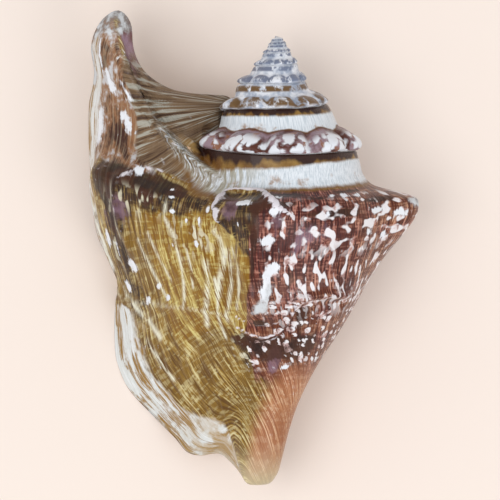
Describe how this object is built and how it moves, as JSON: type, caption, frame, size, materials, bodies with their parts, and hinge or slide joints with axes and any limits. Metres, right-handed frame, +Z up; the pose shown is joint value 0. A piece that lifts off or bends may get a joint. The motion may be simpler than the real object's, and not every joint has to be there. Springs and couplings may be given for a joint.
{
  "type": "conch shell",
  "caption": "Large sea-snail shell with pointed spire, shoulder knobs, siphon canal and a flared lip drawn out into a finger, lying on its open side.",
  "frame": {"origin": "centre of the bounding box in plan, on the surface the shell rests on", "axes": "+X to the shell's right with the spire away from the viewer, away from the lip; +Y along the shell towards the spire's apex; +Z up out of its back"},
  "size_m": [0.0884, 0.127, 0.0605],
  "materials": {
    "shell": "glossy natural shell"
  },
  "bodies": {
    "root": {"conch_shell": "shell"}
  },
  "joints": []
}
